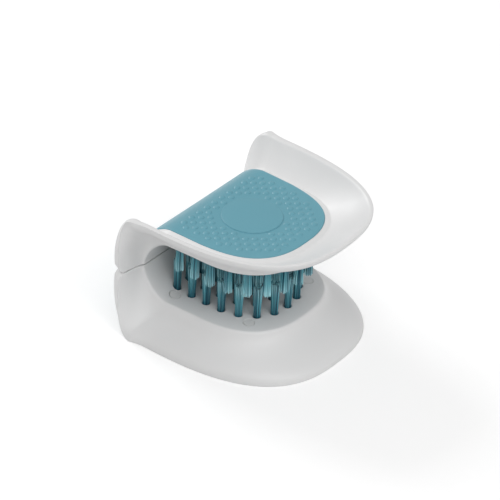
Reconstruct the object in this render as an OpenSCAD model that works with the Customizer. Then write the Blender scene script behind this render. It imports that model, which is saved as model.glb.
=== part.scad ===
// Palm brush that cleans both faces of a knife at once: two flared jaws, tufts on both, one soft grip.
// Units are millimetres. Each jaw is drawn above the middle plane, and the lower one is its mirror image.
// Along the brush +X runs from the spine to the nose, +Y along the blade's way, and +Z is up.

/* [Jaw shells] */
// height over both rims
height = 57; // [52:0.5:62]
// length from the back of the spine to the nose of the rim
rim_length = 82; // [76:0.5:90]
// full width of the rim at its sides
rim_width = 86; // [80:0.5:92]
// full width of the rim at the spine's corners
corner_width = 88.4; // [86:0.2:92]
// full width of the rim where the two shells meet
parting_width = 80.6; // [76:0.2:84]
// clear space between the two floors
mouth_gap = 26.8; // [25:0.2:29]
// thickness of the shell's floor
skin = 1.4; // [1.2:0.1:1.8]
// width of the flat lip at the nose
nose_lip = 1.5; // [1.2:0.1:2]
// width of the flat lip at the spine's corners
corner_lip = 3.6; // [2.5:0.1:4]
// width of the ledge between the grip and the dish
ledge = 2.2; // [1.8:0.1:2.6]
// how far the ledge falls from the grip to the dish
ledge_fall = 0.5; // [0:0.1:0.8]
// length of the floor from the inside of the spine to the nose
floor_length = 57.2; // [54:0.2:60]
// full width of the floor
floor_width = 60; // [58:0.2:63]
// open slot between the two shells at the spine
parting_gap = 0.6; // [0.4:0.1:1]
// depth of the notch in the rim where the shells meet
notch_depth = 2; // [1:0.1:3]

/* [Soft grip] */
// from the floor's face to the top of the grip
grip_height = 7.1; // [6.6:0.1:7.6]
// from the floor's face to the back of the grip at the spine
spine_grip_height = 4.4; // [4:0.1:4.8]
// how far the grip stands above the ledge
grip_step = 0.2; // [0.1:0.1:0.5]
// length of the bending strip along the spine's back
hinge_length = 2.4; // [1.6:0.2:4]
// diameter of the raised disc on the grip
disc_diameter = 24.6; // [16:0.2:28]
// height of the raised disc
disc_height = 0.35; // [0.2:0.05:0.6]

/* [Tufts] */
// distance from one tuft to the next along a row
tuft_pitch = 7.6; // [7.4:0.1:8.4]
// distance from one row to the next
row_pitch = 7.6; // [7.4:0.1:8]
// free length of a tuft
tuft_length = 14.1; // [12:0.1:14.4]
// diameter of a tuft at its root
root_diameter = 3.2; // [2.6:0.1:3.4]
// diameter of a tuft at its tip
tip_diameter = 4; // [3.2:0.1:4.2]
// strands in one tuft
strands = 6; // [4:1:6]

/* [Brush plates] */
// thickness of the plate that holds the tufts
plate_thickness = 2.4; // [2.2:0.1:2.8]
// diameter of the studs that rivet the plate to the floor
stud_diameter = 4.4; // [3.6:0.1:4.6]

/* [View] */
// which piece to show

/* [Hidden] */
$fn = 48;

white = [0.90, 0.90, 0.89];
ivory = [0.84, 0.85, 0.84];
teal = [0.36, 0.62, 0.68];
deep_teal = [0.30, 0.57, 0.63];
steel = [0.72, 0.72, 0.70];

// Stations across the middle of the brush, measured from the bend of the floor.
half_height = height / 2;
floor_z = mouth_gap / 2;
spine_back = -32.7;
rim_nose = spine_back + rim_length;
spine_inside = -24.9;
floor_nose = spine_inside + floor_length;
bend_length = 11;
bend_power = 1.163;
rim_bend_length = 11.5;
rim_side_start = -13.5;
floor_side_start = -0.3;
rim_nose_power = 0.744;
floor_nose_power = 0.802;
spine_floor_width = floor_width + 2.8;

// Every point of a section lies between the floor's edge and the rim.
spine_steps = 12;
side_steps = 3;
nose_steps = 16;
curve_steps = 6;
half_count = spine_steps + side_steps + nose_steps;
station_count = 2 * half_count + 1;
ring_count = 2 * (curve_steps + 1) + 3;

half_gap = parting_gap / 2;
fit_gap = 0.1;
plate_z = floor_z + skin;
slice_thickness = 0.8;
slice_width = 2;
hole_radius = root_diameter / 2 + 0.12;
// The hinge of the brush runs along Y through the middle of the strip, at this station.
hinge_x = spine_inside - (skin + spine_grip_height) / 2;

function mix(a, b, t) = a + (b - a) * t;
function unit(v) = v / norm(v);

// The floor's edge on the near side: up the bend of the spine, along the side and round the nose.
function bend_point(a) = [spine_inside + bend_length * (1 - pow(cos(a), bend_power)),
                          mix(half_gap, floor_z, pow(sin(a), bend_power))];
function bend_normal(a) = unit([-pow(max(cos(a), 0), 2 - bend_power) / bend_length,
                                pow(max(sin(a), 0), 2 - bend_power) / floor_z]);
function nose_turn(t) = 45 * (1 - cos(180 * t));
function floor_edge(i) =
    i <= spine_steps
    ? let (a = 90 * i / spine_steps, p = bend_point(a))
      [p[0], -mix(spine_floor_width, mix(spine_floor_width, floor_width, 0.5), i / spine_steps) / 2, p[1]]
    : i <= spine_steps + side_steps
    ? let (t = (i - spine_steps) / side_steps)
      [mix(spine_inside + bend_length, floor_side_start, t),
       -mix(mix(spine_floor_width, floor_width, 0.5), floor_width, t) / 2, floor_z]
    : let (a = nose_turn((i - spine_steps - side_steps) / nose_steps))
      [floor_side_start + (floor_nose - floor_side_start) * pow(sin(a), floor_nose_power),
       -floor_width / 2 * pow(cos(a), floor_nose_power), floor_z];

// The rim on the near side, with one point for each point of the floor's edge.
function rim_edge(i) =
    i <= spine_steps
    ? let (a = 90 * i / spine_steps)
      [spine_back + rim_bend_length * (1 - cos(a)),
       -mix(parting_width, corner_width, pow(sin(a), 0.8)) / 2,
       mix(half_gap, half_height, sin(a))]
    : i <= spine_steps + side_steps
    ? let (t = (i - spine_steps) / side_steps)
      [mix(spine_back + rim_bend_length, rim_side_start, t),
       -mix(corner_width, rim_width, t * (2 - t)) / 2, half_height]
    : let (a = nose_turn((i - spine_steps - side_steps) / nose_steps))
      [rim_side_start + (rim_nose - rim_side_start) * pow(sin(a), rim_nose_power),
       -rim_width / 2 * pow(cos(a), rim_nose_power), half_height];

// The direction that points out of the floor into the dish: back at the parting, up on the flat.
function out_of_floor(i) = i >= spine_steps ? [0, 0, 1]
    : let (n = bend_normal(90 * i / spine_steps)) [n[0], 0, n[1]];

// The grip stands higher on the flat than at the back of the spine, and the ledge follows it.
function grip_rise(i) = mix(spine_grip_height, grip_height, min(i / spine_steps, 1));
function lip(i) = i <= spine_steps ? mix(nose_lip, corner_lip, i / spine_steps)
    : mix(corner_lip, nose_lip, min((i - spine_steps) / (side_steps + nose_steps / 2), 1));

// A section of the flared wall is drawn in its own plane: p runs away from the floor's edge, q out of
// the floor. The wall's outside leaves the floor's edge steeply, flares out and turns up to the lip.
// The section comes back down the dish, over the sloping ledge and down into the pocket of the grip.
// The two points that pull the outside are shares of the wall's run and rise.
wall_low = [0.09, 0.33];
wall_high = [0.67, 0.49];
lip_round = 0.5;
function bow(a, b, c, t) = a * (1 - t) * (1 - t) + b * 2 * t * (1 - t) + c * t * t;
function sweep(a, b, c, d, t) = mix(bow(a, b, c, t), bow(b, c, d, t), t);
function section_point(run, rise, top, lip, j) =
    j <= curve_steps
    ? sweep([0, 0], [wall_low[0] * run, wall_low[1] * rise], [wall_high[0] * run, wall_high[1] * rise],
            [run, rise - lip_round], j / curve_steps)
    : j == curve_steps + 1 ? [run - lip_round, rise]
    : j == ring_count - 2 ? [-ledge, top]
    : j == ring_count - 1 ? [-ledge, skin]
    : let (t = (ring_count - 3 - j) / curve_steps, foot = top - ledge_fall, middle = (run - lip + 0.2) / 2)
      bow([0.2, foot], [middle + 0.9, (foot + rise) / 2 - 0.9], [run - lip, rise], t);
function near_ring(i) =
    let (e = floor_edge(i), n = out_of_floor(i), d = rim_edge(i) - e,
         rise = d * n, away = d - rise * n, run = norm(away), u = away / run)
    [for (j = [0:ring_count - 1])
        let (s = section_point(run, rise, grip_rise(i) - grip_step, lip(i), j)) e + s[0] * u + s[1] * n];
function ring(i) = i <= half_count ? near_ring(i)
    : [for (p = near_ring(2 * half_count - i)) [p[0], -p[1], p[2]]];

// One shell as a closed skin of triangles, with the floor closing the loop of wall sections.
module jaw_skin() {
    m = ring_count;
    last = station_count - 1;
    points = [for (i = [0:last]) for (p = ring(i)) p];
    wall = [for (i = [0:last - 1]) for (j = [0:m - 2])
        let (a = i * m + j, b = a + 1, c = a + m, d = c + 1) each [[a, b, d], [a, d, c]]];
    floor_bend = [for (i = [0:spine_steps - 1])
        let (a = i * m, b = a + m, c = (last - i) * m, d = c - m) each [[a, b, d], [a, d, c]]];
    dish_bend = [for (i = [0:spine_steps - 1])
        let (a = i * m + m - 1, b = a + m, c = (last - i) * m + m - 1, d = c - m)
        each [[a, d, b], [a, c, d]]];
    flat_floor = [[for (i = [spine_steps:last - spine_steps]) i * m]];
    flat_dish = [[for (i = [last - spine_steps:-1:spine_steps]) i * m + m - 1]];
    near_end = concat([[0, m - 1, m - 2]], [for (j = [0:curve_steps])
        let (a = j, b = j + 1, c = m - 2 - j, d = c - 1) each [[a, d, b], [a, c, d]]]);
    far_end = concat([[last * m, last * m + m - 2, last * m + m - 1]], [for (j = [0:curve_steps])
        let (s = last * m, a = s + j, b = a + 1, c = s + m - 2 - j, d = c - 1) each [[a, b, d], [a, d, c]]]);
    middle_end = [[0, last * m, last * m + m - 1], [0, last * m + m - 1, m - 1]];
    polyhedron(points, concat(wall, floor_bend, dish_bend, flat_floor, flat_dish,
                              near_end, far_end, middle_end), convexity = 10);
}

// Rows of tufts. Each row is a U: straight legs from the spine and an oval turn at the nose.
// The turn is measured along its own length, so that the tufts stand at even steps.
lower_rows = [for (k = [0:2]) [4.6 + (2 - k) * row_pitch, 7.9 + (2 - k) * row_pitch]];
upper_rows = [for (k = [0:2]) [8.4 + (2 - k) * row_pitch, 12.2 + (2 - k) * row_pitch]];
lower_row_start = -17;
upper_row_start = -13.2;
oval_power = 0.87;
oval_samples = 40;
function row_path(row, start) = concat([[start, -row[0]]],
    [for (k = [0:oval_samples]) let (a = nose_turn(k / oval_samples))
        [row[1] * pow(sin(a), oval_power), -row[0] * pow(cos(a), oval_power)]]);
function path_sums(path, k = 0, sum = 0) = k == len(path) - 1 ? [sum]
    : concat([sum], path_sums(path, k + 1, sum + norm(path[k + 1] - path[k])));
function row_places(row, start) =
    let (path = row_path(row, start), sums = path_sums(path), half = sums[len(sums) - 1],
         count = round(2 * half / tuft_pitch), step = 2 * half / count,
         xs = [for (k = [0:len(path) - 1]) [sums[k], path[k][0]]],
         ys = [for (k = [0:len(path) - 1]) [sums[k], path[k][1]]])
    [for (k = [0:count]) let (s = k * step, t = min(s, 2 * half - s), side = s > half ? -1 : 1)
        [lookup(t, xs), side * lookup(t, ys)]];
function part_of(places, from, to) = [for (k = [from:to]) places[k]];

lower_outer = row_places(lower_rows[0], lower_row_start);
lower_middle = row_places(lower_rows[1], lower_row_start);
lower_inner = row_places(lower_rows[2], lower_row_start);
upper_outer = row_places(upper_rows[0], upper_row_start);
upper_middle = row_places(upper_rows[1], upper_row_start);
upper_inner = row_places(upper_rows[2], upper_row_start);
upper_centre = [for (k = [0:2]) [upper_row_start + k * tuft_pitch, 0]];
leg_count = 4;
function near_leg(places) = part_of(places, 0, leg_count - 1);
function nose_arc(places) = part_of(places, leg_count, len(places) - 1 - leg_count);
function far_leg(places) = part_of(places, len(places) - leg_count, len(places) - 1);
lower_groups = [near_leg(lower_outer), nose_arc(lower_outer), far_leg(lower_outer),
                near_leg(lower_middle), nose_arc(lower_middle), far_leg(lower_middle), lower_inner];
upper_groups = [near_leg(upper_outer), nose_arc(upper_outer), far_leg(upper_outer),
                near_leg(upper_middle), nose_arc(upper_middle), far_leg(upper_middle),
                upper_inner, upper_centre];
lower_studs = [[-14.6, -24], [-14.6, 24], [18.6, -19], [18.6, 19]];
upper_studs = [[-16.9, -19.8], [-16.9, 19.8], [15.2, -15.4], [15.2, 15.4]];

// The turn from one tuft to the next differs on the two jaws, which keeps their strands apart
// where the tips mingle, up to the end of the squeeze.
lower_turn = 37;
upper_turn = 45;
first_turn = 36;
strand_radius = 0.42;

// One tuft: a plug that fills its hole in the floor, and strands that spread a little to the tip.
module tuft(turn) {
    root_ring = root_diameter / 2 - strand_radius - 0.02;
    tip_ring = tip_diameter / 2 - strand_radius;
    outer = strands - 1;
    lean = atan((tip_ring - root_ring) / tuft_length);
    translate([0, 0, floor_z - 0.05]) cylinder(r = root_diameter / 2, h = skin + 0.3);
    for (k = [0:outer]) {
        place = k == outer ? 0 : root_ring;
        rotate([0, 0, turn + k * 360 / outer])
            translate([place, 0, floor_z + 0.2])
                rotate([0, k == outer ? 180 : 180 - lean, 0])
                    cylinder(r = strand_radius, h = tuft_length + 0.2 - 0.25 * (k % 3), $fn = 4);
    }
}

// The slice of brush plate that carries a row of tufts, and with play the groove that it lies in.
module row_slice(places, play) {
    z = plate_z - (play > 0 ? 1 : 0);
    thick = slice_thickness + play + (play > 0 ? 1 : 0);
    for (p = places) translate([p[0], p[1], z]) cylinder(r = root_diameter / 2 + play, h = thick);
    for (k = [0:len(places) - 2]) {
        d = places[k + 1] - places[k];
        translate([places[k][0], places[k][1], z]) rotate([0, 0, atan2(d[1], d[0])])
            translate([0, -slice_width / 2 - play, 0]) cube([norm(d), slice_width + 2 * play, thick]);
    }
}

module tuft_row(places, turn) {
    row_slice(places, 0);
    for (k = [0:len(places) - 1])
        translate([places[k][0], places[k][1], 0]) tuft(first_turn + turn * k);
}

module jaw_shell(groups, studs) {
    difference() {
        jaw_skin();
        for (g = groups) for (p = g)
            translate([p[0], p[1], floor_z - 6]) cylinder(r = hole_radius, h = 12);
        for (p = studs)
            translate([p[0], p[1], floor_z - 6]) cylinder(r = stud_diameter / 2, h = 12);
        for (side = [-1, 1])
            translate([spine_back, side * parting_width / 2, 0]) rotate([0, 45, 0])
                cube([notch_depth * sqrt(2), 2 * notch_depth + 6, notch_depth * sqrt(2)], center = true);
    }
}

// The plan of the floor drawn smaller by a margin, used for the brush plate and the grip.
side_flare = 0.045;
module floor_plan(margin, start) {
    length = floor_nose - floor_side_start - margin;
    wide = floor_width / 2 - margin;
    flare = wide + side_flare * (floor_side_start - start);
    turn = [for (k = [-24:24]) let (a = nose_turn(abs(k) / 24), side = k < 0 ? -wide : wide)
        [floor_side_start + length * pow(cos(a), floor_nose_power), side * pow(sin(a), floor_nose_power)]];
    polygon(concat([[start, -flare]], turn, [[start, flare]]));
}

// A band with the side view of the shell's floor, between two heights over the floor's face.
function bend_curve(low, high, steps) = [for (k = [0:steps])
    let (a = 90 * k / steps, p = bend_point(a), n = bend_normal(a), off = mix(low, high, k / steps))
    [p[0] + off * n[0], p[1] + off * n[1]]];
function reversed(list) = [for (k = [len(list) - 1:-1:0]) list[k]];
module band(bottom, low, high, wide, steps) {
    translate([0, wide / 2, 0]) rotate([90, 0, 0]) linear_extrude(wide)
        polygon(concat([[spine_inside - bottom, -5]], bend_curve(bottom, bottom, steps),
                       [[floor_nose + 2, floor_z + bottom], [floor_nose + 2, floor_z + high]],
                       reversed(bend_curve(low, high, steps)), [[spine_inside - low, -5]]));
}

// The plate that holds the tufts. Its studs go through the floor and end flush with it.
plate_margin = ledge + 0.3;
plate_start = -19.6;
module brush_plate(groups, studs) {
    difference() {
        union() {
            translate([0, 0, plate_z]) linear_extrude(plate_thickness) floor_plan(plate_margin, plate_start);
            intersection() {
                for (p = studs) translate([p[0], p[1], 0]) cylinder(r = stud_diameter / 2, h = plate_z + 1);
                band(0, skin + 1, skin + 1, floor_width, spine_steps);
            }
        }
        for (g = groups) {
            row_slice(g, fit_gap);
            for (p = g) translate([p[0], p[1], plate_z + slice_thickness])
                cylinder(r = root_diameter / 2, h = 1.1);
        }
    }
}

// A small staple in the bottom of each tuft's hole in the plate, turned like the tuft.
anchor_size = [2.3, 0.4, 0.7];
module anchors(groups, turn) {
    for (g = groups) for (k = [0:len(g) - 1])
        translate([g[k][0], g[k][1], plate_z + slice_thickness + 0.1]) rotate([0, 0, turn * k])
            translate([-anchor_size[0] / 2, -anchor_size[1] / 2, 0]) cube(anchor_size);
}

// The soft grip fills the pocket of the shell, follows it over the spine and covers the brush plate.
grip_margin = ledge + 0.2;
disc_x = 3.4;
disc_bevel = 0.15;
module grip_band() {
    intersection() {
        band(skin + fit_gap, spine_grip_height, grip_height, 2 * floor_width, 20);
        translate([0, 0, -half_height]) linear_extrude(2 * half_height)
            floor_plan(grip_margin, spine_back - 4);
    }
}
module jaw_grip(groups, studs) {
    difference() {
        union() {
            difference() {
                grip_band();
                translate([-50, -50, hinge_length / 2 + fit_gap - 50]) cube([100, 100, 50]);
            }
            translate([disc_x, 0, floor_z + grip_height - 1]) {
                cylinder(d = disc_diameter, h = 1 + disc_height - disc_bevel);
                translate([0, 0, 1 + disc_height - disc_bevel])
                    cylinder(d1 = disc_diameter, d2 = disc_diameter - 2 * disc_bevel, h = disc_bevel);
            }
        }
        translate([0, 0, plate_z - 1]) linear_extrude(1 + plate_thickness + fit_gap)
            floor_plan(plate_margin - fit_gap, plate_start - fit_gap);
        // The grip is moulded round the studs and tufts where the floor begins to bend.
        for (p = studs)
            translate([p[0], p[1], 0]) cylinder(r = stud_diameter / 2 + fit_gap, h = plate_z);
        for (g = groups) for (p = g)
            translate([p[0], p[1], 0]) cylinder(r = hole_radius, h = plate_z);
    }
}

module stand() translate([-(rim_nose + spine_back) / 2, 0, half_height]) children();
module above() stand() children();
module below() stand() mirror([0, 0, 1]) children();

module lower_shell() color(white) below() jaw_shell(lower_groups, lower_studs);
module upper_shell() color(white) above() jaw_shell(upper_groups, upper_studs);
module lower_brush_plate() color(ivory) below() brush_plate(lower_groups, lower_studs);
module upper_brush_plate() color(ivory) above() brush_plate(upper_groups, upper_studs);
module lower_grip() color(deep_teal) below() jaw_grip(lower_groups, lower_studs);
module upper_grip() color(teal) above() jaw_grip(upper_groups, upper_studs);
module hinge_strip() color(teal) stand() intersection() {
    grip_band();
    translate([hinge_x, 0, 0]) cube([2 * spine_grip_height, 2 * floor_width, hinge_length], center = true);
}
module lower_anchors() color(steel) below() anchors(lower_groups, lower_turn);
module upper_anchors() color(steel) above() anchors(upper_groups, upper_turn);
module lower_outer_near_tufts() color(teal) below() tuft_row(lower_groups[0], lower_turn);
module lower_outer_nose_tufts() color(teal) below() tuft_row(lower_groups[1], lower_turn);
module lower_outer_far_tufts() color(teal) below() tuft_row(lower_groups[2], lower_turn);
module lower_middle_near_tufts() color(teal) below() tuft_row(lower_groups[3], lower_turn);
module lower_middle_nose_tufts() color(teal) below() tuft_row(lower_groups[4], lower_turn);
module lower_middle_far_tufts() color(teal) below() tuft_row(lower_groups[5], lower_turn);
module lower_inner_tufts() color(teal) below() tuft_row(lower_groups[6], lower_turn);
module upper_outer_near_tufts() color(teal) above() tuft_row(upper_groups[0], upper_turn);
module upper_outer_nose_tufts() color(teal) above() tuft_row(upper_groups[1], upper_turn);
module upper_outer_far_tufts() color(teal) above() tuft_row(upper_groups[2], upper_turn);
module upper_middle_near_tufts() color(teal) above() tuft_row(upper_groups[3], upper_turn);
module upper_middle_nose_tufts() color(teal) above() tuft_row(upper_groups[4], upper_turn);
module upper_middle_far_tufts() color(teal) above() tuft_row(upper_groups[5], upper_turn);
module upper_inner_tufts() color(teal) above() tuft_row(upper_groups[6], upper_turn);
module upper_centre_tufts() color(teal) above() tuft_row(upper_groups[7], upper_turn);

lower_shell();
upper_shell();
lower_brush_plate();
upper_brush_plate();
lower_grip();
upper_grip();
hinge_strip();
lower_anchors();
upper_anchors();
lower_outer_near_tufts();
lower_outer_nose_tufts();
lower_outer_far_tufts();
lower_middle_near_tufts();
lower_middle_nose_tufts();
lower_middle_far_tufts();
lower_inner_tufts();
upper_outer_near_tufts();
upper_outer_nose_tufts();
upper_outer_far_tufts();
upper_middle_near_tufts();
upper_middle_nose_tufts();
upper_middle_far_tufts();
upper_inner_tufts();
upper_centre_tufts();
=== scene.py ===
# %% [markdown]
# A palm brush that cleans knives and forks. Two flared jaws of white plastic are joined at the back by a
# soft grip, which is moulded over both of them and bends when the hand squeezes. Each jaw carries rows of
# bristle tufts that meet at the blade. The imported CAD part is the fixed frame: it says where each piece is,
# and this script gives the pieces their smooth surfaces, their bristles and their finishes.

import bmesh
import bpy
import numpy as np
from mathutils import Matrix, Vector


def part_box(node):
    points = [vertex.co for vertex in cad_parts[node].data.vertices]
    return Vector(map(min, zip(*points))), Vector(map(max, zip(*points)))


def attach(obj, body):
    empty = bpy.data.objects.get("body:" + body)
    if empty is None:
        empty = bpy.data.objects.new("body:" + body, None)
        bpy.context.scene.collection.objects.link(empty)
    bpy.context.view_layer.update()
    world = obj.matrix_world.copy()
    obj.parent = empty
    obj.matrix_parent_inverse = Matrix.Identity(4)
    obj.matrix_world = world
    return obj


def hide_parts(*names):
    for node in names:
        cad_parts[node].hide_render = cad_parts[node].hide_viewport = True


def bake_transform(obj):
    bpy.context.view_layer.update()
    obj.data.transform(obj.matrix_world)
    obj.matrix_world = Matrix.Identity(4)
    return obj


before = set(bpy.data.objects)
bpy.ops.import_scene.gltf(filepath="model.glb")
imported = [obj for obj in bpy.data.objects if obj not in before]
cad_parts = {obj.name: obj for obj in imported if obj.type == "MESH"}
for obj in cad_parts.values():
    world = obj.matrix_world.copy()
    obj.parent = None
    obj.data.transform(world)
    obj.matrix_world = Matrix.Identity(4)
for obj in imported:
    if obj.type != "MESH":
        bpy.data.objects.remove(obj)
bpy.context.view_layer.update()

# %% [markdown]
# The sizes below are millimetres, measured from the middle of the brush: x runs from the spine to the nose,
# y across, z up from the plane where the jaws part. They are the sizes of the CAD part, so that each smooth
# surface lies on its CAD solid, but for three small things that only the eye needs: the bevel of the lip where
# the rim stands upright, the ledge that falls to the grip, and the softer notch. The overall width and height
# are read from the frame itself, and the length is given.

# %% Sizes of the jaws
MM = 0.001
high = np.array(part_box("upper_shell")[1]) / MM
half_height = high[2] / 2
rim_length = 82.0
spine_back = -32.7
rim_nose = spine_back + rim_length
rim_side_start = -13.5
rim_bend_length = 11.5
parting_half = 40.3
corner_half = high[1]
rim_half = 43.0
rim_nose_power = 0.744

spine_inside = -24.9
bend_length = 11.0
bend_power = 1.163
floor_z = 13.4
floor_nose = spine_inside + 57.2
floor_side_start = -0.3
floor_half = 30.0
spine_floor_half = floor_half + 1.4
floor_nose_power = 0.802
half_gap = 0.3
bevel_back = 4.7
bevel_out = 2.2
nose_gather = 0.74
skin = 1.4
ledge = 2.2
ledge_fall = 0.9
nose_lip = 1.5
corner_lip = 3.6
grip_height = 7.1
spine_grip_height = 4.4
grip_step = 0.2
notch_depth = 1.6
notch_height = 3.2
notch_reach = 9.0
stand = np.array([-(rim_nose + spine_back) / 2, 0.0, half_height])
print("jaws:", round(rim_length, 1), "x", round(2 * corner_half, 1), "x", round(2 * half_height, 1), "mm")

# %% [markdown]
# The photograph was taken from the near side, about 35 degrees up, with a long lens. A camera in Blender is a
# position, three directions and a lens. They were found by matching the rim, the grip and the roots of the
# tufts with the photograph, so the same three numbers, turn, height and roll, set up the view again.

# %% Camera
turn = np.radians(36.482)
lift = np.radians(34.695)
roll = np.radians(3.084)
camera_distance = 1.05383
lens_in_pixels = 2649.19
picture_width = 500
aim = Vector((-0.008627, 0.004811, 0.0285))

right = Vector((np.cos(turn), np.sin(turn), 0))
back = Vector((np.sin(turn) * np.cos(lift), -np.cos(turn) * np.cos(lift), np.sin(lift)))
up = back.cross(right)
right, up = right * np.cos(roll) + up * np.sin(roll), up * np.cos(roll) - right * np.sin(roll)

camera = bpy.data.cameras.new("camera")
camera.sensor_width = 36
camera.lens = lens_in_pixels * camera.sensor_width / picture_width
camera.clip_end = 20
camera_object = bpy.data.objects.new("camera", camera)
bpy.context.scene.collection.objects.link(camera_object)
place = Matrix((right, up, back)).transposed().to_4x4()
place.translation = aim + back * camera_distance
camera_object.matrix_world = place
bpy.context.scene.camera = camera_object
print("lens, mm:", round(camera.lens, 1))

# %% [markdown]
# Every moulded surface here is a grid of points. Two numbers give a point: one runs round the jaw, the other
# runs across it. numpy works out the whole grid at once, and the faces join each point to its neighbours.
# A grid that is drawn for the near side is mirrored for the far side, and the two are welded where they meet.

# %% Grids to meshes
def grid_faces(rows, columns, start=0, flip=False):
    """Quads that join each point of a grid to the next in its row and in the next row."""
    index = start + np.arange(rows * columns).reshape(rows, columns)
    quads = np.stack([index[:-1, :-1], index[:-1, 1:], index[1:, 1:], index[1:, :-1]], -1).reshape(-1, 4)
    return quads[:, ::-1] if flip else quads


def new_mesh(name, points, quads, weld=0.0):
    """Puts points, in millimetres from the middle of the brush, and quads into a mesh in the frame."""
    points = np.asarray(points, float).reshape(-1, 3)
    mesh = bpy.data.meshes.new(name)
    mesh.vertices.add(len(points))
    mesh.vertices.foreach_set("co", ((points + stand) * MM).astype(np.float32).ravel())
    mesh.loops.add(quads.size)
    mesh.loops.foreach_set("vertex_index", quads.astype(np.int32).ravel())
    mesh.polygons.add(len(quads))
    mesh.polygons.foreach_set("loop_start", np.arange(0, quads.size, 4, dtype=np.int32))
    mesh.update(calc_edges=True)
    if weld:
        editable = bmesh.new()
        editable.from_mesh(mesh)
        bmesh.ops.remove_doubles(editable, verts=editable.verts, dist=weld * MM)
        bmesh.ops.dissolve_degenerate(editable, edges=editable.edges, dist=weld * MM)
        bmesh.ops.recalc_face_normals(editable, faces=editable.faces)
        editable.to_mesh(mesh)
        editable.free()
    mesh.validate()
    made = bpy.data.objects.new(name, mesh)
    bpy.context.scene.collection.objects.link(made)
    return made


def smooth(piece, sharp_angle=40):
    """Rounds the shading, apart from edges that turn by more than the angle."""
    mesh = piece.data
    mesh.polygons.foreach_set("use_smooth", np.ones(len(mesh.polygons), bool))
    mesh.set_sharp_from_angle(angle=np.radians(sharp_angle))
    return piece


def mix(a, b, t):
    """A value that goes from a to b as t goes from 0 to 1."""
    return a + (b - a) * t


def bow(a, b, c, t):
    """A curve from a to c that leaves towards b and arrives from b: the quadratic Bezier formula."""
    return a * (1 - t) ** 2 + b * 2 * t * (1 - t) + c * t**2


def sweep(a, b, c, d, t):
    """A curve from a to d that leaves towards b and arrives from c: two bows, mixed, make a cubic Bezier."""
    return mix(bow(a, b, c, t), bow(b, c, d, t), t)


# %% [markdown]
# The wall of a jaw stands between two curves. The inner one is the edge of its floor: up the bend of the
# spine, along the side and round the nose as part of a superellipse, which is an ellipse with fuller or
# flatter corners. The outer one is the rim, with the same three stretches. A place round the jaw is a number
# from 0 to 3: 0 to 1 is the bend, 1 to 2 the side, 2 to 3 the nose.

# %% Floor edge, rim and the direction out of the floor
def stretches(place):
    """The bend's angle, the share of the side that is done and the nose's angle, for each place."""
    bend = np.clip(place, 0, 1) * np.pi / 2
    side = np.clip(place - 1, 0, 1)
    nose = np.pi / 4 * (1 - np.cos(np.pi * np.clip(place - 2, 0, 1)))
    return bend, side, nose


def power(value, exponent):
    """A power that stays real where rounding takes a sine or cosine just below zero."""
    return np.clip(value, 0, None) ** exponent


def floor_edge(place):
    """x and z follow cosine and sine powers up the bend; x and y follow sine and cosine powers at the nose."""
    bend, side, nose = stretches(place)
    x = (spine_inside + bend_length * (1 - power(np.cos(bend), bend_power))
         + (floor_side_start - spine_inside - bend_length) * side
         + (floor_nose - floor_side_start) * power(np.sin(nose), floor_nose_power))
    half = spine_floor_half - 0.7 * bend / (np.pi / 2) - 0.7 * side
    y = -half * power(np.cos(nose), floor_nose_power)
    z = mix(half_gap, floor_z, power(np.sin(bend), bend_power))
    return np.stack([x, y, z], -1)


def bevel(place):
    """How far the lip leans back from its outer edge: most at the parting, nothing where the rim lies flat."""
    return bevel_back * power(np.cos(stretches(place)[0]), 1.8)


def rim_edge(place):
    """The outer edge of the rim swings out and up as a quarter turn, ahead of the lip by its bevel, then keeps
    its height along the side and the nose."""
    bend, side, nose = stretches(place)
    x = (spine_back + rim_bend_length * (1 - np.cos(bend))
         + (rim_side_start - spine_back - rim_bend_length) * side
         + (rim_nose - rim_side_start) * power(np.sin(nose), rim_nose_power))
    half = (mix(parting_half, corner_half, power(np.sin(bend), 0.8))
            + (rim_half - corner_half) * side * (2 - side))
    x = x + bevel(place)
    y = -half * power(np.cos(nose), rim_nose_power) - bevel_out * power(np.cos(bend), 2.5)
    z = mix(half_gap, half_height, np.sin(bend))
    return np.stack([x, y, z], -1)


def out_of_floor(place):
    """The unit vector at right angles to the floor's side view, which is a superellipse in the bend."""
    bend = stretches(place)[0]
    x = -power(np.cos(bend), 2 - bend_power) / bend_length
    z = power(np.sin(bend), 2 - bend_power) / floor_z
    return np.stack([x, 0 * x, z], -1) / np.hypot(x, z)[..., None]


def middle_line(place):
    """The point of the middle that a place looks in to: straight across, and drawn together at the nose."""
    middle = floor_edge(place)
    beyond = np.clip(middle[..., 0] - floor_side_start, 0, None)
    middle[..., 0] -= nose_gather * beyond
    middle[..., 1] = 0
    return middle


def grip_rise(place):
    """The grip is lower where it wraps the spine, and rises to its full height round the bend."""
    return mix(spine_grip_height, grip_height, np.clip(place, 0, 1))


def lip_width(place):
    """The flat lip of the rim widens to the corner and narrows again. The narrowing takes 11 steps, at a rate
    of 3 along the side and 16 round the nose, so it is done half way round the nose."""
    steps = 3 * np.clip(place - 1, 0, 1) + 16 * np.clip(place - 2, 0, 1)
    narrowed = mix(corner_lip, nose_lip, np.clip(steps / 11, 0, 1))
    return np.where(place <= 1, mix(bevel_out, corner_lip, place), narrowed)


def rows_round_jaw(bend_rows, side_rows, nose_rows):
    """Places from the parting to the tip of the nose, closer together near the parting."""
    bend = np.linspace(0, 1, bend_rows) ** 1.25
    side = 1 + np.linspace(0, 1, side_rows + 1)[1:]
    nose = 2 + np.linspace(0, 1, nose_rows + 1)[1:]
    return np.concatenate([bend, side, nose])


# %% [markdown]
# The shell is what an injection mould gives: a floor 1.4 mm thick, a wall that flares out to the rim, a lip
# with rounded edges, a dish that falls back to the grip, and a pocket that the grip fills. It could be made by
# bending a plate and adding a flange, but the wall's section changes all the way round. So each place gets
# its own section, drawn with a few curves in the plane of the wall, and the grid joins them.

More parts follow.
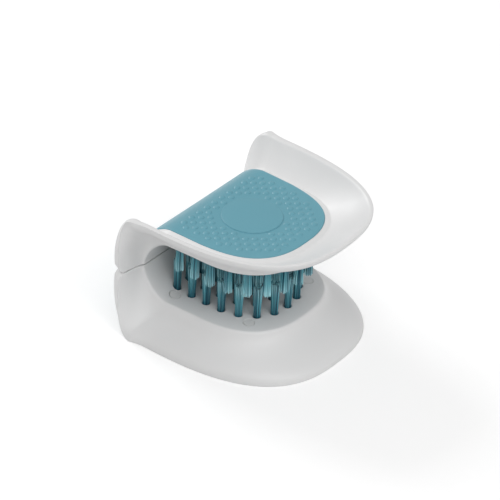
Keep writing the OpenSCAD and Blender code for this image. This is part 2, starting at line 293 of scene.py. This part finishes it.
# %% Section of the flared wall
floor_round = 0.9
lip_radius = 0.3
lip_flat = 0.6
dish_foot = 0.2
dish_sag = 0.9
leave_out, leave_up = 0.05, 0.50
arrive_upright, arrive_flat, arrive_up = 0.67, 1.0, 0.58


def section(place):
    """One row of points for each place: floor, wall's outside, lip, dish, ledge, pocket wall, pocket floor.
    The wall leaves the floor and arrives at the lip towards two points, given as shares of its run and its
    rise. Nothing stands above the plane of the flat rim."""
    edge, out, middle = floor_edge(place), out_of_floor(place), middle_line(place)
    span = rim_edge(place) - edge
    rise = (span * out).sum(-1)[:, None]
    away = span - rise * out
    run = np.linalg.norm(away, axis=-1)[:, None]
    away = away / run
    top = (grip_rise(place) - grip_step)[:, None]
    lip = lip_width(place)[:, None]
    lean = bevel(place)[:, None]
    along = lip_radius / np.hypot(lip, lean)
    arrive_out = mix(arrive_upright, arrive_flat, np.clip(place, 0, 1))[:, None]

    def drawn(p, q):
        """Points at p along the wall's direction and q out of the floor."""
        return edge[:, None] + p[..., None] * away[:, None] + q[..., None] * out[:, None]

    def curve(a, b, c, t):
        """A bow through three places of the section plane."""
        return drawn(bow(a[0], b[0], c[0], t), bow(a[1], b[1], c[1], t))

    def flare(t):
        """The wall's outside: steep at the floor's edge, then out, then up to the lip."""
        return drawn(sweep(0 * run, leave_out * run, arrive_out * run, run, t),
                     sweep(0 * run, leave_up * rise, arrive_up * rise, rise - lip_radius, t))

    flat = np.linspace(0, 1, 15)[None]
    foot_rise = top - ledge_fall
    lip_rise = rise + lean
    dish = ((run - lip, lip_rise),
            ((run - lip + dish_foot) / 2 + dish_sag, (foot_rise + lip_rise) / 2 - dish_sag),
            (dish_foot + 0 * run, foot_rise))
    inward = middle - edge
    reach = np.linalg.norm(inward, axis=-1)[:, None]
    floor_end = edge + inward * np.minimum(floor_round / reach, 0.5)
    start = middle[:, None] + (floor_end - middle)[:, None] * flat[..., None]
    bend_in = np.linspace(0, 1, 7)[None]
    wall_start = 0.09
    corner = bow(start[:, -1:], edge[:, None], flare(np.array([[wall_start]])), bend_in[..., None])
    wall = flare(np.linspace(wall_start, 1, 27)[None])
    lip_round = curve((run, rise - lip_radius), (run, rise), (run - lip * along, rise + lean * along),
                      np.linspace(0, 1, 7)[None])
    dish_start, dish_end = 0.07, 0.98
    from_lip = drawn(run - lip_flat * lip, rise + lip_flat * lean)
    lip_point = drawn(run - lip, lip_rise)
    lip_fall = bow(from_lip, lip_point, curve(*dish, np.array([[dish_start]])), bend_in[..., None])
    hollow = curve(*dish, np.linspace(dish_start, dish_end, 27)[None])
    foot = drawn(dish_foot + 0 * run, foot_rise)
    on_ledge = drawn(-0.1 + 0 * run, foot_rise + 0.05)
    to_ledge = bow(hollow[:, -1:], foot, on_ledge, bend_in[..., None])
    edge_round = curve((-ledge + 0.3 + 0 * run, top - 0.06), (-ledge + 0 * run, top),
                       (-ledge + 0 * run, top - 0.3), np.linspace(0, 1, 5)[None])
    pocket_edge = drawn(-ledge + 0 * run, skin + 0 * run)
    pocket_middle = middle[:, None] + skin * out[:, None]
    pocket = mix(pocket_edge, pocket_middle, np.linspace(0, 1, 15)[None, :, None])
    points = np.concatenate([start[:, :-1], corner[:, :-1], wall[:, :-1], lip_round, lip_fall[:, :-1],
                             hollow[:, :-1], to_ledge, edge_round, pocket], axis=1)
    points[..., 2] = np.minimum(points[..., 2], half_height)
    return points


# %% [markdown]
# Where the jaws part, a moulded edge is never quite sharp. The first rows are drawn in towards the middle of
# the wall, as a quarter of a small circle, and the last face closes the wall. The notch that opens towards the
# rim could be cut out, but it has no sharp edge on the brush. So it is pressed in: the points near the parting
# move towards the floor's edge, more the farther out they are.

# %% Shell
part_radius = 0.3


def parted_edge(points, depth_rows):
    """Draws the first rows in towards the opposite face by a quarter circle of the parting radius."""
    angle = np.linspace(0, np.pi / 2, depth_rows)
    inset = np.zeros(len(points))
    inset[:depth_rows] = part_radius * (1 - np.sin(angle))
    across = points[:, ::-1] - points
    length = np.linalg.norm(across, axis=-1, keepdims=True)
    share = np.minimum(inset[:, None, None] / np.maximum(length, 1e-6), 0.45)
    return points + across * share


def notched(points, place):
    """Near the parting, each point goes towards the floor's edge, more the farther out it is."""
    edge = floor_edge(place)[:, None]
    inward = edge - points
    outside = np.clip(inward[..., 1:2] / notch_reach, 0, 1) ** 3
    depth = notch_depth * power(1 - np.abs(points[..., 2:]) / notch_height, 2)
    return points + inward / np.maximum(np.linalg.norm(inward, axis=-1, keepdims=True), 1e-6) * depth * outside


def shell(name, jaw):
    """The near half, its mirror image and the wall's end at the parting. The jaw is 1 above or -1 below."""
    depth_rows = 5
    bend_start = part_radius * (1 - np.cos(np.linspace(0, np.pi / 2, depth_rows)))
    first = 2 / np.pi * np.arcsin((bend_start / (floor_z - half_gap)) ** (1 / bend_power))
    rest = rows_round_jaw(64, 18, 90)
    row_gap = 1.3
    place = np.concatenate([first, rest[rest > first[-1] * row_gap]])
    near = notched(parted_edge(section(place), depth_rows), place)
    rows, columns = near.shape[:2]
    far = near * [1, -1, 1]
    points = np.concatenate([near.reshape(-1, 3), far.reshape(-1, 3)]) * [1, 1, jaw]
    near_end = np.arange(columns // 2 - 1)
    end = np.stack([near_end, columns - 1 - near_end, columns - 2 - near_end, near_end + 1], -1)
    quads = np.concatenate([grid_faces(rows, columns), end,
                            grid_faces(rows, columns, rows * columns, True), end[:, ::-1] + rows * columns])
    piece = new_mesh(name, points, quads, weld=0.002)
    print(name, len(piece.data.polygons), "faces")
    return piece


shells = {"lower_jaw": shell("lower_shell_skin", -1), "upper_jaw": shell("upper_shell_skin", 1)}

# %% [markdown]
# Each tuft stands in a small hole of the floor, and four round studs of the brush plate come through it. The
# holes could be left out, because the tufts hide most of them, but the thin dark ring round each root and
# stud is what makes a brush look made. They are cut with one Boolean: every cutter is a turned shape whose
# mouth opens a little, as a moulded hole does.

# %% Rows of tufts
tuft_pitch = 7.6
lower_rows = [(19.8, 23.1), (12.2, 15.5), (4.6, 7.9)]
upper_rows = [(23.6, 27.4), (16.0, 19.8), (8.4, 12.2)]
lower_row_start = -17.0
upper_row_start = -13.2
oval_power = 0.87
leg_count = 4


def row_places(half_width, nose, start):
    """A U of a straight leg and a superellipse turn, cut into even steps of its own length, both legs alike."""
    turn_angle = np.pi / 4 * (1 - np.cos(np.pi * np.linspace(0, 1, 41)))
    x = np.concatenate([[start], nose * power(np.sin(turn_angle), oval_power)])
    y = np.concatenate([[-half_width], -half_width * power(np.cos(turn_angle), oval_power)])
    along = np.concatenate([[0], np.cumsum(np.hypot(np.diff(x), np.diff(y)))])
    count = round(2 * along[-1] / tuft_pitch)
    steps = np.linspace(0, 2 * along[-1], count + 1)
    folded = np.minimum(steps, 2 * along[-1] - steps)
    side = np.where(steps > along[-1], -1, 1)
    return np.stack([np.interp(folded, along, x), side * np.interp(folded, along, y)], -1)


def tuft_groups(jaw, rows, start):
    """The places of each CAD node's tufts: outer and middle rows in three stretches, the inner row whole."""
    outer, middle, inner = (row_places(*row, start) for row in rows)
    groups = {}
    for name, row in (("outer", outer), ("middle", middle)):
        groups[f"{jaw}_{name}_near"] = row[:leg_count]
        groups[f"{jaw}_{name}_nose"] = row[leg_count:-leg_count]
        groups[f"{jaw}_{name}_far"] = row[-leg_count:]
    groups[f"{jaw}_inner"] = inner
    return groups


lower_tufts = tuft_groups("lower", lower_rows, lower_row_start)
upper_tufts = tuft_groups("upper", upper_rows, upper_row_start)
upper_tufts["upper_centre"] = np.array([[upper_row_start + k * tuft_pitch, 0] for k in range(3)])
studs = {"lower_jaw": [(-14.6, -24), (-14.6, 24), (18.6, -19), (18.6, 19)],
         "upper_jaw": [(-16.9, -19.8), (-16.9, 19.8), (15.2, -15.4), (15.2, 15.4)]}
tuft_places = {"lower_jaw": np.concatenate(list(lower_tufts.values())),
               "upper_jaw": np.concatenate(list(upper_tufts.values()))}
print("tufts:", {jaw: len(places) for jaw, places in tuft_places.items()})

# %% Holes
tuft_radius = 1.6
tuft_play, tuft_mouth = 0.1, 0.22
stud_radius = 2.2
stud_play, stud_mouth = 0.06, 0.25
jaw_side = {"lower_jaw": -1, "upper_jaw": 1}


def turned(profile, places, sides, jaw):
    """A profile of radius and height is turned round an upright axis at each place."""
    angle = np.linspace(0, 2 * np.pi, sides, endpoint=False)
    radius, height = np.array(profile, float).T
    ring = np.stack([radius[:, None] * np.cos(angle), radius[:, None] * np.sin(angle),
                     np.broadcast_to(height[:, None], (len(radius), sides))], -1)
    places = np.asarray(places, float)
    shift = np.concatenate([places, np.zeros((len(places), 1))], 1)
    points = (ring[None] + shift[:, None, None]) * [1, 1, jaw]
    index = np.arange(len(radius) * sides).reshape(len(radius), sides)
    around = np.roll(index, -1, axis=1)
    quads = np.stack([index[:-1], around[:-1], around[1:], index[1:]], -1).reshape(-1, 4)
    step = len(radius) * sides * np.arange(len(places))[:, None, None]
    return points.reshape(-1, 3), (quads[None] + step).reshape(-1, 4)


def joined(parts):
    """Puts several sets of points and quads into one."""
    points, quads, start = [], [], 0
    for some_points, some_quads in parts:
        points.append(some_points)
        quads.append(some_quads + start)
        start += len(some_points)
    return np.concatenate(points), np.concatenate(quads)


def hole_profile(radius, opening):
    """Straight up through the floor, with a mouth that opens over the last third of a millimetre."""
    return [(0, floor_z - 3), (radius + opening, floor_z - 3), (radius + opening, floor_z - 0.02),
            (radius + 0.35 * opening, floor_z + 0.12), (radius, floor_z + 0.4), (radius, floor_z + skin + 1),
            (0, floor_z + skin + 1)]


def cut_holes(piece, body):
    """Cuts the holes of one jaw with a single exact Boolean and keeps the result as a plain mesh."""
    side = jaw_side[body]
    parts = [turned(hole_profile(tuft_radius + tuft_play, tuft_mouth), tuft_places[body], 20, side),
             turned(hole_profile(stud_radius + stud_play, stud_mouth), studs[body], 40, side)]
    cutter = new_mesh("cutter", *joined(parts), weld=0.001)
    boolean = piece.modifiers.new("holes", "BOOLEAN")
    boolean.operation = "DIFFERENCE"
    boolean.solver = "EXACT"
    boolean.object = cutter
    bpy.context.view_layer.update()
    cut = bpy.data.meshes.new_from_object(piece.evaluated_get(bpy.context.evaluated_depsgraph_get()))
    piece.modifiers.clear()
    piece.data = cut
    bpy.data.objects.remove(cutter)
    print(piece.name, "with its holes:", len(cut.polygons), "faces")


for body, piece in shells.items():
    cut_holes(piece, body)
    smooth(piece)

# %% [markdown]
# A tuft is about thirty nylon filaments, folded in two and driven into the hole with a metal anchor, so it
# leaves the hole tight and opens out to its trimmed end. A filament could be a curve with a bevel, but two
# thousand curves are heavy. Here each is a thin tube of four sides. Their places follow a sunflower: the
# angle grows by the golden angle and the radius by a square root, which fills a circle evenly.

# %% Bristles
filaments = 26
filament_radius = 0.24
tuft_length = 14.1
root_spread = 1.32
root_depth = 0.7
tip_spread = 1.86
tip_lean = 0.1
trim_play = 0.45
golden_angle = np.pi * (3 - 5**0.5)
random = np.random.default_rng(11)


def tuft_strands(places, jaw):
    """Each filament runs from its place in the root to its place in the tip, and opens as a power of length."""
    count = len(places)
    number = np.arange(filaments)
    share = np.sqrt((number + 0.5) / filaments)
    angle = number * golden_angle + random.uniform(0, 2 * np.pi, (count, 1))
    lean = random.uniform(-tip_lean, tip_lean, (count, filaments, 2))
    outward = np.stack([np.cos(angle), np.sin(angle)], -1) * share[None, :, None]
    root = outward * root_spread
    tip = outward * (tip_spread + random.uniform(-0.08, 0.04, (count, 1, 1))) + lean
    rings = np.array([0, 0.3, 0.6, 0.85, 1.0])
    opening = rings**1.3
    centre = root[:, :, None] + (tip - root)[:, :, None] * opening[None, None, :, None]
    start = floor_z + root_depth
    length = (tuft_length + root_depth) - random.uniform(0, trim_play, (count, filaments, 1))
    z = start - length * rings
    corner = np.arange(4) * np.pi / 2
    around = corner + random.uniform(0, np.pi, (count, filaments, 1))
    radius = filament_radius * np.array([1, 1, 1, 1, 0.85])
    ring = np.stack([np.cos(around), np.sin(around)], -1)[:, :, None] * radius[:, None, None]
    xy = centre[:, :, :, None] + ring + np.asarray(places)[:, None, None, None]
    points = np.concatenate([xy, np.broadcast_to(z[..., None, None], xy.shape[:-1] + (1,))], -1)
    levels = len(rings)
    index = np.arange(levels * 4).reshape(levels, 4)
    beside = np.roll(index, -1, axis=1)
    tube = np.stack([index[:-1], beside[:-1], beside[1:], index[1:]], -1).reshape(-1, 4)
    tube = np.concatenate([tube, index[:1], index[-1:, ::-1]])
    if jaw > 0:
        tube = tube[:, ::-1]
    step = np.arange(count * filaments)[:, None, None] * levels * 4
    each = (count, filaments, levels, 4)
    along = np.broadcast_to(rings[None, None, :, None], each).reshape(-1)
    # Each strand's random amount of painted shade, which the bristle colour reads.
    shade = np.broadcast_to(random.uniform(0, 1, (count, filaments, 1, 1)), each).reshape(-1)
    return (points * [1, 1, jaw]).reshape(-1, 3), (tube[None] + step).reshape(-1, 4), along, shade


bristles = {}
for body, groups in (("lower_jaw", lower_tufts), ("upper_jaw", upper_tufts)):
    for name, places in groups.items():
        points, quads, along, shade = tuft_strands(places, jaw_side[body])
        piece = new_mesh(name + "_bristles", points, quads)
        for label, value in (("towards_tip", along), ("strand_painted_shade", shade)):
            layer = piece.data.attributes.new(label, "FLOAT", "POINT")
            layer.data.foreach_set("value", value.astype(np.float32))
        smooth(piece, 60)
        bristles[name] = piece
        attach(piece, body)
        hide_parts(name + "_tufts")
print("filaments:", sum(len(places) for places in tuft_places.values()) * filaments)

# %% [markdown]
# The grip is one soft moulding that lies in both dishes and wraps the spine, where it is the hinge. It fills
# each pocket up to a hair below the ledge's edge and stands a little proud, with a rounded edge. Its grid
# runs from the tip of the lower nose over the spine to the tip of the upper nose.

# %% Grip
grip_play = 0.04
grip_lift = 0.05
grip_round = 0.45


def grip_half(place):
    """One row for each place: underside from the middle out, side, rounded edge, top back to the middle."""
    edge, out, middle = floor_edge(place), out_of_floor(place), middle_line(place)
    span = rim_edge(place) - edge
    away = span - (span * out).sum(-1)[:, None] * out
    away = away / np.linalg.norm(away, axis=-1)[:, None]
    top = grip_rise(place)[:, None]
    border = edge - (ledge + grip_play) * away
    inward = middle - border
    inward = inward / np.maximum(np.linalg.norm(inward, axis=-1)[:, None], 1e-6)
    under_edge = border + (skin + grip_lift) * out
    under_middle = middle + (skin + grip_lift) * out
    wall_top = border + (top - grip_round) * out
    corner = border + top * out
    top_edge = corner + grip_round * inward
    top_middle = middle + top * out

    def line(a, b, n):
        """Points from a to b, without b."""
        return mix(a[:, None], b[:, None], np.linspace(0, 1, n, endpoint=False)[None, :, None])

    shares = np.linspace(0, 1, 8)[None, :-1, None]
    edge_bow = bow(wall_top[:, None], corner[:, None], top_edge[:, None], shares)
    return np.concatenate([line(under_middle, under_edge, 6), line(under_edge, wall_top, 3), edge_bow,
                           line(top_edge, top_middle, 22), top_middle[:, None]], axis=1)


def whole_grip(name):
    """The lower half is the upper one mirrored in z, with its rows turned round, so one grid covers both."""
    upper = grip_half(rows_round_jaw(60, 14, 80))
    lower = upper[::-1] * [1, 1, -1]
    near = np.concatenate([lower, upper])
    rows, columns = near.shape[:2]
    points = np.concatenate([near.reshape(-1, 3), (near * [1, -1, 1]).reshape(-1, 3)])
    quads = np.concatenate([grid_faces(rows, columns), grid_faces(rows, columns, rows * columns, True)])
    return new_mesh(name, points, quads, weld=0.002)


grip = smooth(whole_grip("soft_grip"))
print("grip:", len(grip.data.polygons), "faces")

# %% [markdown]
# Rows of low pads give the thumb its hold. They stand in a quincunx, which is the pattern of the five on a
# die: each row is shifted by half a step. In the middle of each grip a round disc stays bare. The real one
# has a mark on that disc, which is left off here.

# %% Pads and disc of the grip
pad_step = 5.52
pad_row = 2.36
pad_radius = 1.32
pad_height = 0.36
pad_margin = 3.1
pad_start = -15.8
pad_shift = 0.25
pad_sides = 16
disc_x = 3.4
disc_radius = 12.3
disc_height = 0.35
disc_edge = 0.3
disc_clearance = 1.2
grip_top = floor_z + grip_height


def inside_grip(x, y, margin):
    """True where a point is the margin or more inside the grip's border, a superellipse at the nose."""
    long = floor_nose - floor_side_start - ledge - margin
    wide = floor_half - ledge - margin
    nose = power(x - floor_side_start, 1) / long
    return nose ** (2 / floor_nose_power) + (np.abs(y) / wide) ** (2 / floor_nose_power) < 1


def pad_places():
    """A grid with every second row shifted by half a step, kept inside the border and clear of the disc."""
    row = np.arange(-10, 11)
    column = np.arange(-8, 9)
    y, x = np.meshgrid(row * pad_row, column * pad_step, indexing="ij")
    x = x + pad_shift + np.where(row % 2 == 0, 0, pad_step / 2)[:, None]
    clear = np.hypot(x - disc_x, y) > disc_radius + disc_clearance
    keep = inside_grip(x, y, pad_margin) & clear & (x > pad_start)
    return np.stack([x[keep], y[keep]], -1)


def pads(name, jaw):
    """Each pad is a low round dome: its height falls off as a circle does from its middle to its edge."""
    places = pad_places()
    distance = np.array([1.1, 1.0, 0.9, 0.72, 0.45, 0.0])
    height = np.array([-0.1, 0.0, 0.42, 0.75, 0.93, 1.0]) * pad_height
    angle = np.linspace(0, 2 * np.pi, pad_sides, endpoint=False)
    circle = pad_radius * np.stack([np.cos(angle), np.sin(angle)], -1)
    xy = places[:, None, None] + circle[None, None] * distance[None, :, None, None]
    z = np.broadcast_to(grip_top + height[None, :, None, None], xy.shape[:-1] + (1,))
    points = np.concatenate([xy, z], -1) * [1, 1, jaw]
    index = np.arange(len(distance) * pad_sides).reshape(len(distance), pad_sides)
    beside = np.roll(index, -1, axis=1)
    quads = np.stack([index[:-1], beside[:-1], beside[1:], index[1:]], -1).reshape(-1, 4)
    if jaw < 0:
        quads = quads[:, ::-1]
    step = np.arange(len(places))[:, None, None] * len(distance) * pad_sides
    return smooth(new_mesh(name, points, (quads[None] + step).reshape(-1, 4)), 70), len(places)


def disc(name, jaw):
    """A flat disc with a quarter-round edge, turned about its middle."""
    angle = np.linspace(0, np.pi / 2, 6)
    top = grip_top + disc_height
    edge = [(disc_radius - disc_edge * (1 - np.cos(a)), top - disc_edge * (1 - np.sin(a))) for a in angle]
    profile = [(disc_radius, grip_top - 0.1)] + edge + [(disc_radius * 0.6, top), (0.001, top)]
    points, quads = turned(profile, [(disc_x, 0)], 96, jaw)
    return smooth(new_mesh(name, points, quads if jaw > 0 else quads[:, ::-1]), 50)


grip_details = {}
for body, jaw in jaw_side.items():
    side = body.split("_")[0]
    grip_pads, pad_count = pads(side + "_grip_pads", jaw)
    grip_details[body] = [grip_pads, disc(side + "_grip_disc", jaw)]
print("pads on each grip:", pad_count)

# %% [markdown]
# A finish is more than a colour. Moulded plastic has a very fine grain, a roughness that wanders a little and
# hand marks that you only see in a highlight. Each finish below starts from the same recipe: one noise
# shades the colour, a second one moves the roughness, and a third one, much finer, bumps the surface. All of
# them read the object's own coordinates, so the pattern stays on the piece from every side.

# %% Recipe of a finish
def finish(name, colour, roughness, shade=0.03, grain=0.35, bump=0.02, spread=0.05, **sockets):
    """A Principled surface whose colour and roughness wander and whose grain size is in millimetres."""
    material = bpy.data.materials.new(name)
    material.use_nodes = True
    nodes, links = material.node_tree.nodes, material.node_tree.links
    surface = nodes["Principled BSDF"]
    place = nodes.new("ShaderNodeTexCoord")

    def noise(size, detail):
        """Noise whose blobs are about this many millimetres wide."""
        node = nodes.new("ShaderNodeTexNoise")
        node.inputs["Scale"].default_value = 1 / (size * MM)
        node.inputs["Detail"].default_value = detail
        links.new(place.outputs["Object"], node.inputs["Vector"])
        return node.outputs["Fac"]

    tint = nodes.new("ShaderNodeMix")
    tint.data_type = "RGBA"
    tint.inputs["A"].default_value = (*[c * (1 - shade) for c in colour], 1)
    tint.inputs["B"].default_value = (*[min(c * (1 + shade), 1) for c in colour], 1)
    links.new(noise(22, 3), tint.inputs["Factor"])
    links.new(tint.outputs["Result"], surface.inputs["Base Color"])

    rough = nodes.new("ShaderNodeMapRange")
    rough.inputs["From Min"].default_value = 0.3
    rough.inputs["From Max"].default_value = 0.7
    rough.inputs["To Min"].default_value = roughness - spread
    rough.inputs["To Max"].default_value = roughness + spread
    links.new(noise(7, 5), rough.inputs["Value"])
    links.new(rough.outputs["Result"], surface.inputs["Roughness"])

    relief = nodes.new("ShaderNodeBump")
    relief.inputs["Strength"].default_value = 1.0
    relief.inputs["Distance"].default_value = bump * MM
    links.new(noise(grain, 2), relief.inputs["Height"])
    links.new(relief.outputs["Normal"], surface.inputs["Normal"])
    for socket, value in sockets.items():
        surface.inputs[socket.replace("_", " ")].default_value = value
    return material


# %% [markdown]
# The shell is a neutral white with a satin face. The grip is a soft rubber-like plastic: its face
# scatters light at grazing angles, which the sheen gives. The hidden plate is a greyer white, and the anchors
# are drawn wire.

# %% Finishes of the shell, plate, grip and anchors
shell_white = finish("white satin plastic", (0.765, 0.765, 0.765), 0.42, shade=0.015, grain=0.5, bump=0.006)
plate_white = finish("plate plastic", (0.72, 0.72, 0.715), 0.46, shade=0.02, bump=0.01)
grip_teal = finish("soft teal grip", (0.13, 0.355, 0.435), 0.42, shade=0.04, grain=0.25, bump=0.008,
                   Sheen_Weight=0.08, Sheen_Roughness=0.4)
anchor_wire = finish("anchor wire", (0.6, 0.6, 0.58), 0.3, grain=0.2, Metallic=1.0)

# %% [markdown]
# A filament's colour is painted light and shade. A painted highlight makes it pale at its trimmed end, where it
# catches the light, and a painted shade makes it dark at its root, where its neighbours shade it. A random
# painted shade darkens some strands more than others, for strands turned away from the light, so a tuft shows
# light and dark strands. The strands carry two numbers: one is 0 at the root and 1 at the tip, the other is the
# strand's own amount of painted shade. The colour reads both.

# %% Finish of the bristles
def bristle_finish():
    """The recipe with a colour painted from shade at the root to a highlight at the tip, and a painted shade
    that darkens some strands.
    """
    material = finish("nylon bristle", (0.12, 0.36, 0.43), 0.35, grain=0.3, bump=0.01)
    nodes, links = material.node_tree.nodes, material.node_tree.links

    def number(name):
        """The value that the strands carry under a name."""
        node = nodes.new("ShaderNodeAttribute")
        node.attribute_name = name
        return node.outputs["Fac"]

    # Painted shade at the root, painted highlight at the tip, by the place along the strand.
    ramp = nodes.new("ShaderNodeValToRGB")
    ramp.color_ramp.elements[0].color = (0.035, 0.2, 0.27, 1)
    ramp.color_ramp.elements[1].color = (0.42, 0.80, 0.86, 1)
    middle = ramp.color_ramp.elements.new(0.6)
    middle.color = (0.14, 0.47, 0.55, 1)
    links.new(number("towards_tip"), ramp.inputs["Fac"])
    # Painted shade: strands are darkened towards a dark teal by their random amount.
    shaded = nodes.new("ShaderNodeMix")
    shaded.data_type = "RGBA"
    shaded.blend_type = "MULTIPLY"
    shaded.inputs["B"].default_value = (0.03, 0.15, 0.22, 1)
    links.new(ramp.outputs["Color"], shaded.inputs["A"])
    amount = nodes.new("ShaderNodeMapRange")
    amount.inputs["From Min"].default_value = 0.4
    amount.inputs["To Max"].default_value = 0.92
    links.new(number("strand_painted_shade"), amount.inputs["Value"])
    links.new(amount.outputs["Result"], shaded.inputs["Factor"])
    links.new(shaded.outputs["Result"], nodes["Principled BSDF"].inputs["Base Color"])
    return material


bristle_teal = bristle_finish()

# %% [markdown]
# Each piece now gets its finish and, but for the grip, the body that it moves with. On the brush the grip
# belongs to both jaws: it follows the lower one below the parting and the upper one above it, and bends over
# the few millimetres between them. Here it is given no body and keeps its place in the frame.

# %% Dress the pieces
def dress(piece, material, body=None):
    """One finish on the whole piece, and the body that carries it."""
    piece.data.materials.clear()
    piece.data.materials.append(material)
    if body:
        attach(piece, body)


for body, piece in shells.items():
    dress(piece, shell_white, body)
    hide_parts(body.split("_")[0] + "_shell")
for piece in bristles.values():
    piece.data.materials.append(bristle_teal)
dress(grip, grip_teal)
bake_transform(grip)
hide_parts("lower_grip", "upper_grip", "hinge_strip")
for body, pieces in grip_details.items():
    for piece in pieces:
        dress(piece, grip_teal, body)
for side in ("lower", "upper"):
    for node, material in (("brush_plate", plate_white), ("anchors", anchor_wire)):
        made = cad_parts[f"{side}_{node}"]
        made.data.materials.clear()
        made.data.materials.append(material)

# %% [markdown]
# The photograph was taken on a white table in soft light. The main light comes from the left, over the spine, a
# large soft one from the front above lifts the lower jaw, and a weak one from the right opens the shadows.
# The floor is plain and pale. The camera, and what a gloss or a glass mirrors, sees a little light added to
# it, so that it turns white without any more light on the brush, and the soft shadow still shows.

# %% Floor, lights and world
floor_glow = 0.32
lamp_aim = Vector((0, 0, 0.03))


def stage_floor():
    """A wide plane with a matte white face, and added light for what only sees it."""
    size = 3.0
    corners = np.array([[-1, -1, 0], [1, -1, 0], [1, 1, 0], [-1, 1, 0]], float) * size / MM - stand
    floor = new_mesh("floor", corners, np.array([[0, 1, 2, 3]]))
    material = bpy.data.materials.new("floor")
    material.use_nodes = True
    nodes, links = material.node_tree.nodes, material.node_tree.links
    nodes.clear()
    matte = nodes.new("ShaderNodeBsdfDiffuse")
    matte.inputs["Color"].default_value = (0.80, 0.80, 0.80, 1)
    glow = nodes.new("ShaderNodeEmission")
    glow.inputs["Color"].default_value = (1, 1, 1, 1)
    path = nodes.new("ShaderNodeLightPath")
    seen = nodes.new("ShaderNodeMath")
    seen.operation = "MAXIMUM"
    links.new(path.outputs["Is Camera Ray"], seen.inputs[0])
    links.new(path.outputs["Is Glossy Ray"], seen.inputs[1])
    seen_too = nodes.new("ShaderNodeMath")
    seen_too.operation = "MAXIMUM"
    links.new(seen.outputs[0], seen_too.inputs[0])
    links.new(path.outputs["Is Transmission Ray"], seen_too.inputs[1])
    amount = nodes.new("ShaderNodeMath")
    amount.operation = "MULTIPLY"
    amount.inputs[1].default_value = floor_glow
    links.new(seen_too.outputs[0], amount.inputs[0])
    links.new(amount.outputs[0], glow.inputs["Strength"])
    both = nodes.new("ShaderNodeAddShader")
    links.new(matte.outputs[0], both.inputs[0])
    links.new(glow.outputs[0], both.inputs[1])
    output = nodes.new("ShaderNodeOutputMaterial")
    links.new(both.outputs[0], output.inputs["Surface"])
    floor.data.materials.append(material)
    return floor


def lamp(name, place, size, watts):
    """A square soft box that looks at the brush."""
    light = bpy.data.lights.new(name, "AREA")
    light.size = size
    light.energy = watts
    made = bpy.data.objects.new(name, light)
    bpy.context.scene.collection.objects.link(made)
    towards = lamp_aim - Vector(place)
    made.matrix_world = Matrix.Translation(place) @ towards.to_track_quat("-Z", "Y").to_matrix().to_4x4()
    return made


stage_floor()
lamp("key", (-0.97, 0.15, 0.69), 0.45, 5.8)
lamp("front", (0.45, -0.5, 1.0), 0.9, 4.4)
lamp("side", (0.97, -0.15, 0.69), 0.7, 2.8)
world = bpy.data.worlds.new("studio")
world.use_nodes = True
world.node_tree.nodes["Background"].inputs["Color"].default_value = (1, 1, 1, 1)
world.node_tree.nodes["Background"].inputs["Strength"].default_value = 0.40
bpy.context.scene.world = world
bpy.context.scene.view_settings.view_transform = "Standard"
